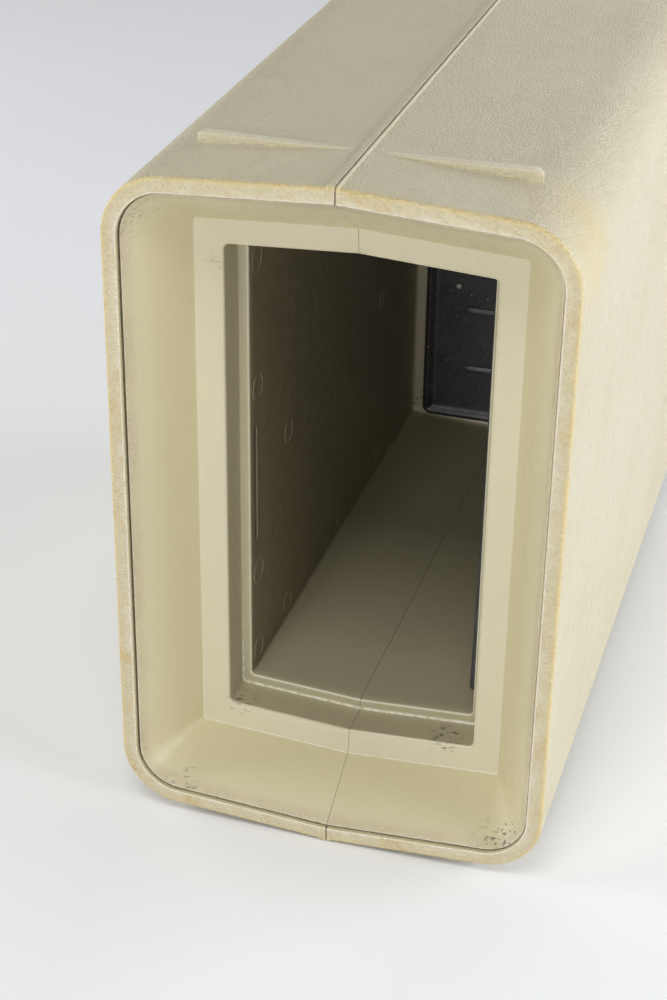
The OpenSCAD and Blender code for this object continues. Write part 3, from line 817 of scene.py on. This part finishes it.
def cut_slot(obj, lo, hi, radius):
    """Cuts a slot with rounded corners between two opposite corners of its box."""
    bm = bmesh.new()
    y0, z0, y1, z1 = lo[1] + radius, lo[2] + radius, hi[1] - radius, hi[2] - radius
    outline = []
    for cy, cz, start in ((y1, z1, 0), (y0, z1, 90), (y0, z0, 180), (y1, z0, 270)):
        outline += arc_points(cy, cz, radius, start, start + 90, 6)
    ends = [[bm.verts.new((x, y, z)) for y, z in outline] for x in (lo[0], hi[0])]
    for i in range(len(outline)):
        j = (i + 1) % len(outline)
        bm.faces.new((ends[0][i], ends[0][j], ends[1][j], ends[1][i]))
    bm.faces.new(ends[0])
    bm.faces.new(list(reversed(ends[1])))
    cutter = finish_mesh("cutter", bm)
    cut = obj.modifiers.new("slot", "BOOLEAN")
    cut.operation, cut.solver, cut.object = "DIFFERENCE", "EXACT", cutter
    bpy.context.view_layer.objects.active = obj
    with bpy.context.temp_override(object=obj, active_object=obj, selected_objects=[obj]):
        bpy.ops.object.modifier_apply(modifier="slot")
    bpy.data.objects.remove(cutter)
    bm = bmesh.new()
    bm.from_mesh(obj.data)
    sharpen(bm, 35)
    bm.to_mesh(obj.data)
    bm.free()


# The ejector marks on each side wall: depth from the rim, height and radius in millimetres.
RING_MARKS = (
    (100, -159, 9.4), (100, -92, 9.4), (100, 58, 9.4), (100, 154, 9.4),
    (168, -159, 8.8), (168, -10, 8.8), (168, 154, 8.8),
    (305, -159, 7.4), (305, 157, 7.4),
    (420, -159, 7.4), (420, -10, 7.4), (420, 157, 7.4),
)


def make_liner(side, name):
    seam_xs = [0.13 * MM, 0.36 * MM, 4 * MM]
    counts = {"across": 10, "round_steps": 8, "down": 40}
    liner = half_moulding(
        name, side, liner_inside_rings(side), liner_outside_rings(side), seam_xs, (), (), counts,
    )
    if side == LEFT:
        # The slot's lip is thin, and the box behind it is a little wider than the slot.
        lo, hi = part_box("bolt_box")
        wall = -CAVITY_W
        near, far = lo.y + 2 * MM, hi.y - 2 * MM
        low, high = lo.z + 2 * MM, hi.z - 2 * MM
        cut_slot(liner, (wall - 4.2 * MM, near, low), (wall + 3 * MM, far, high), 1.2 * MM)
        cut_slot(
            liner, (wall - 4.2 * MM, near - 1 * MM, low - 1 * MM),
            (wall - 0.9 * MM, far + 1.7 * MM, high + 1 * MM), 0.8 * MM,
        )
    rings = [make_ring_mark(side, y * MM, z * MM, radius * MM) for y, z, radius in RING_MARKS]
    return dress(join(liner, rings), "liner", name.replace("_skin", ""))


make_liner(LEFT, "liner_left_skin")
make_liner(RIGHT, "liner_right_skin")


# ---------------------------------------------------------------- rear panel
def rounded_rect(w, h, r, steps=6, sides=6):
    """Closed outline of a rounded rectangle of half sizes w and h."""
    r = max(r, 0.3 * MM)
    out = []
    corners = ((w - r, h - r, 0), (r - w, h - r, 90), (r - w, r - h, 180), (w - r, r - h, 270))
    for k, (cx, cz, start) in enumerate(corners):
        arc = arc_points(cx, cz, r, start, start + 90, steps)
        nx, nz, nstart = corners[(k + 1) % 4]
        following = arc_points(nx, nz, r, nstart, nstart + 90, steps)[0]
        out += arc + between(arc[-1], following, sides)
    return out


PANEL_ROLL = 2.4 * MM      # height of the rolled border above the field
PANEL_T = 8 * MM
PANEL_RIB_PITCH = 57.5 * MM


def make_panel():
    """Black panel with a rolled border and cross ribs."""
    lo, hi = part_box("rear_panel")
    w, h = (hi.x - lo.x) / 2, (hi.z - lo.z) / 2
    base, face = hi.y, hi.y - PANEL_T
    z_mid = (lo.z + hi.z) / 2
    bm = bmesh.new()
    # Each step is a distance in from the edge in millimetres, and a depth.
    bead, slope = 4.5, 5.5
    steps = [(2.6, base - 0.3 * MM), (0.0, base - 0.2 * MM), (0.0, base - 3 * MM)]
    for i in range(1, 7):
        a = math.radians(90 * i / 6)
        steps.append((bead * (1 - math.cos(a)), base - PANEL_T + bead * MM * (1 - math.sin(a))))
    for i in range(1, 9):
        share = i / 8
        fall = 0.75 * share + 0.125 * (1 - math.cos(math.pi * share))
        steps.append((bead + slope * share, face + PANEL_ROLL * fall))
    steps.append((13, face + PANEL_ROLL))
    rows = []
    for inset, y in steps:
        ring = rounded_rect(w - inset * MM, h - inset * MM, (9 - inset) * MM)
        rows.append([(x, y, z_mid + z) for x, z in ring + ring[:1]])
    grid = add_rows(bm, rows)
    bm.faces.new(grid[-1][:-1])
    bm.faces.new(list(reversed(grid[0][:-1])))
    panel = finish_mesh("rear_panel_skin", bm, 50)
    ribs = [make_panel_rib(face + PANEL_ROLL, z_mid + i * PANEL_RIB_PITCH) for i in range(-2, 3)]
    return dress(join(panel, ribs), "black_plastic", "rear_panel")


def make_panel_rib(face, z):
    """Rounded bead across the panel, with a slope above, a short underside and pointed ends."""
    bm = bmesh.new()
    half, tall = 37 * MM, 1.45 * MM
    # Distance up from the middle in millimetres, and share of the full height.
    section = [(3.4, -0.5), (3.2, 0.0), (2.0, 0.37), (1.0, 0.63), (0.0, 0.81), (-1.0, 0.94),
               (-2.0, 0.99), (-2.7, 1.0), (-3.1, 0.83), (-3.3, 0.49), (-3.35, 0.0), (-3.4, -0.5)]
    stations = 24
    rows = []
    for i in range(stations + 1):
        x = half * (2 * i / stations - 1)
        fade = min(1.0, (half - abs(x)) / (5 * MM) + 0.12)
        full = math.sqrt(1 - (1 - fade) ** 2)
        narrow = 0.35 + 0.65 * full
        rows.append([
            (x, face - tall * out * (full if out > 0 else 1), z + up * MM * narrow) for up, out in section
        ])
    grid = add_rows(bm, rows)
    for a, b in zip(grid, grid[1:]):
        bm.faces.new((a[-1], a[0], b[0], b[-1]))
    bm.faces.new(grid[0])
    bm.faces.new(list(reversed(grid[-1])))
    return finish_mesh("panel_rib", bm, 60)


make_panel()


# ---------------------------------------------------------------- fasteners and strike bar
def lathe(name, profile, centre, axis, steps=32):
    """Turned piece: profile is pairs of radius and distance along axis, in millimetres."""
    bm = bmesh.new()
    turn = Vector((0, 0, 1)).rotation_difference(Vector(axis)).to_matrix()
    rows = []
    for i in range(steps + 1):
        a = 2 * math.pi * i / steps
        rows.append([
            Vector(centre) + turn @ (MM * Vector((r * math.cos(a), r * math.sin(a), d)))
            for r, d in profile
        ])
    add_rows(bm, rows)
    return finish_mesh(name, bm, 45)


def make_rivets():
    lo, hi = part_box("rear_panel_rivets")
    head = 2.4 * MM
    spots = [(x, z) for x in (lo.x + head, hi.x - head) for z in (lo.z + head, hi.z - head)]
    profile = [(0, 0), (0.9, 0.05), (1.6, 0.22), (2.1, 0.5), (2.35, 0.8), (2.4, 1.02), (1.8, 1.05),
               (1.8, 18.4), (0, 18.5)]
    made = [lathe("rivet", profile, (x, lo.y + PANEL_ROLL, z), (0, 1, 0)) for x, z in spots]
    rivets = join(made[0], made[1:])
    rivets.name = "rear_panel_rivets_skin"
    return dress(rivets, "pale_plastic", "rear_panel_rivets")


def bar_thickness(full, z):
    """Thickness of the strike bar at height z from its middle."""
    lift = max(0.0, min(1.0, (40 * MM - z) / (190 * MM))) ** 1.3
    return full * (0.34 + 0.66 * lift)


def make_strike_bar():
    """Flat bar with round ends on the right wall of the cavity, thicker towards its foot."""
    lo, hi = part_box("strike_bar")
    bm = bmesh.new()
    half_y, half_z = (hi.y - lo.y) / 2, (hi.z - lo.z) / 2
    mid_y, mid_z = (hi.y + lo.y) / 2, (hi.z + lo.z) / 2
    edge = 1.5 * MM
    profile = [(2.0 * MM, 0.0), (0.0, 0.0)]
    for i in range(6):
        a = math.radians(18 * i)
        profile.append((edge * (1 - math.cos(a)), 1 - 0.5 * (1 - math.sin(a))))
    profile += [(2.5 * MM, 1.0)]
    rows = []
    for inset, share in profile:
        ring = rounded_rect(half_y - inset, half_z - inset, half_y - inset, 10, 24)
        row = []
        for y, z in ring + ring[:1]:
            row.append((hi.x - bar_thickness(hi.x - lo.x, z) * share, mid_y + y, mid_z + z))
        rows.append(row)
    grid = add_rows(bm, rows)
    bm.faces.new(grid[-1][:-1])
    bm.faces.new(list(reversed(grid[0][:-1])))
    return dress(finish_mesh("strike_bar_skin", bm, 50), "black_metal", "strike_bar")


def make_strike_screws():
    """Countersunk screws whose heads lie in the face of the strike bar."""
    bar_lo, bar_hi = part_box("strike_bar")
    lo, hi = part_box("strike_bar_screws")
    head, mid_y, mid_z = 4.5 * MM, (bar_lo.y + bar_hi.y) / 2, (bar_lo.z + bar_hi.z) / 2
    first, last = lo.z + head, hi.z - head
    profile = [(0, 0.5), (0.9, 0.5), (1.1, 0.1), (4.1, 0.0), (4.35, 0.2), (2.5, 2.4), (2.5, 22), (0, 22)]
    made = []
    for i in range(4):
        z = first + (last - first) * i / 3
        face = bar_hi.x - bar_thickness(bar_hi.x - bar_lo.x, z - mid_z) - 0.12 * MM
        made.append(lathe("screw", profile, (face, mid_y, z), (1, 0, 0)))
    screws = join(made[0], made[1:])
    screws.name = "strike_bar_screws_skin"
    return dress(screws, "steel", "strike_bar_screws")


make_rivets()
make_strike_bar()
make_strike_screws()

CAD_SLOTS = {
    "filling": ("insulation_left", "insulation_right"),
    "seal": ("seam_seal",),
    "steel": (
        "seam_dowels", "front_strap_left", "front_strap_right", "rear_strap_left", "rear_strap_right",
        "bolt_box_rivets", "strike_nut_plate",
    ),
    "black_metal": ("bolt_box",),
    "liner": ("spacer_posts_left", "spacer_posts_right"),
}
for slot_name, node_names in CAD_SLOTS.items():
    for node_name in node_names:
        cad_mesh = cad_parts[node_name].data
        cad_mesh.materials.clear()
        cad_mesh.materials.append(MATERIALS[slot_name])


# ---------------------------------------------------------------- stage and light
def make_floor():
    """Pale paper that lies under the body and rises far behind it."""
    bm = bmesh.new()
    rows = []
    reach, bend, radius, top = 9.0, 4.0, 2.5, 8.0
    profile = [(-8, 0.0), (-2, 0.0), (1.0, 0.0), (bend, 0.0)]
    for i in range(1, 11):
        a = math.radians(9 * i)
        profile.append((bend + radius * math.sin(a), radius * (1 - math.cos(a))))
    profile.append((bend + radius, top))
    for y, z in profile:
        rows.append([(x, y, z) for x in (-reach, -3, 0, 3, reach)])
    add_rows(bm, rows)
    floor = finish_mesh("floor", bm, 60)
    n = Nodes("pale_paper", 0.75, 0.2)
    colour = n.mix(n.ramp(n.noise(1.5, 3), 0.3, 0.7), rgb(0.835, 0.842, 0.856), rgb(0.855, 0.862, 0.875))
    floor.data.materials.append(n.done(colour, n.bump(n.noise(300, 2), 0.1 * MM, 0.2)))


def area_light(name, place, target, width, height, power, colour=(1, 1, 1)):
    data = bpy.data.lights.new(name, "AREA")
    data.shape, data.size, data.size_y = "RECTANGLE", width, height
    data.energy, data.color = power, colour
    light = bpy.data.objects.new(name, data)
    bpy.context.scene.collection.objects.link(light)
    light.location = place
    light.rotation_mode = "QUATERNION"
    light.rotation_quaternion = (Vector(place) - Vector(target)).to_track_quat("Z", "Y")


def make_world(strength):
    world = bpy.data.worlds.new("studio")
    world.use_nodes = True
    world.node_tree.nodes["Background"].inputs["Color"].default_value = (1, 1, 1, 1)
    world.node_tree.nodes["Background"].inputs["Strength"].default_value = strength
    bpy.context.scene.world = world


make_floor()
make_world(0.09)
BODY_MID = (0, 0, 0.25)
COOL = (0.965, 1.0, 1.10)
area_light("front_high", (0, -1.8, 3.2), BODY_MID, 1.6, 1.2, 39)
area_light("front_low", (-0.15, -3.0, 0.75), BODY_MID, 0.8, 1.3, 32)
area_light("right_near", (3.0, -0.95, 1.0), BODY_MID, 1.0, 1.6, 40)
area_light("right_far", (2.8, 0.8, 0.9), BODY_MID, 2.0, 1.2, 62, COOL)
area_light("left_near", (-3.0, -0.95, 1.0), BODY_MID, 1.0, 1.6, 39)
area_light("left_far", (-2.8, 0.6, 1.0), BODY_MID, 2.0, 1.2, 28)
area_light("back_high", (0.5, 3.6, 2.0), (0, 0.5, 0.25), 2.5, 1.5, 24)
bpy.context.scene.view_settings.view_transform = "Standard"
